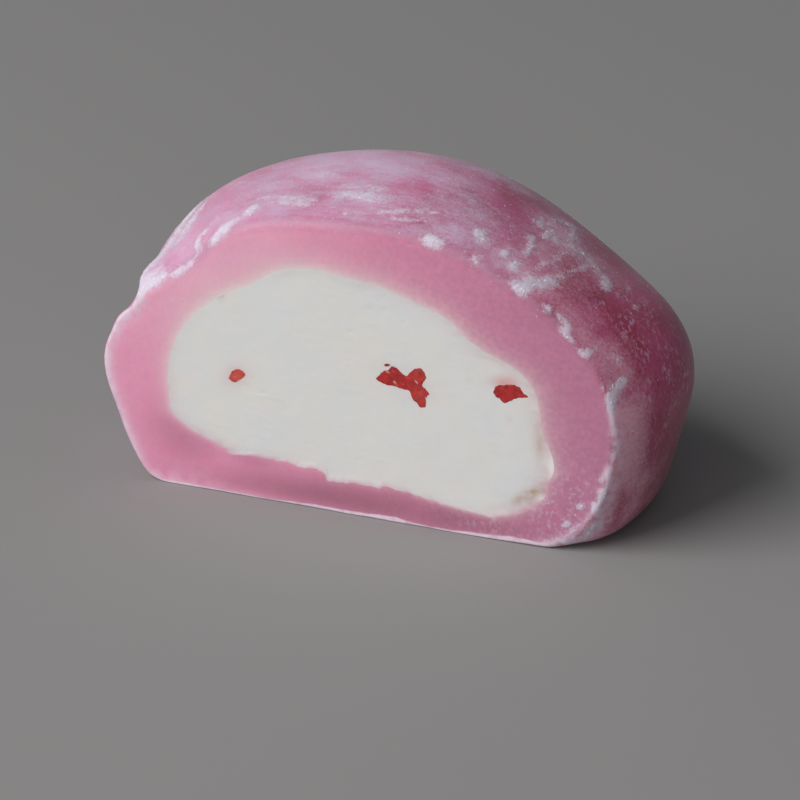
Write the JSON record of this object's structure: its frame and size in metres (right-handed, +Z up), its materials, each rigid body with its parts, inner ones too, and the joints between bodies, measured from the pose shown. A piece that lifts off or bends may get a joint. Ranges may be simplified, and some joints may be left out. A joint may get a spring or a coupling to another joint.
{
  "type": "mochi rice cake",
  "caption": "Halved round rice cake: a soft pink rice dough shell wrapped round a white filling with bits of strawberry, resting on its flat base with the cut face upright.",
  "frame": {"origin": "middle of the cake's footprint, in the plane of its flat base", "axes": "+X to the right seen from the cut side, +Y straight back from the cut face to the rounded back, +Z up"},
  "size_m": [0.047, 0.023, 0.0269],
  "materials": {
    "dough": "soft, slightly translucent rose pink rice dough; moist and faintly shiny where the starch has rubbed off",
    "filling": "matt, dense off-white sweet filling, cut smooth",
    "strawberry": "dry red strawberry flesh, slightly rough and translucent",
    "starch": "matt white dusting starch in grains and clots"
  },
  "bodies": {
    "root": {"dough_shell": "dough", "filling": "filling"}
  },
  "joints": []
}
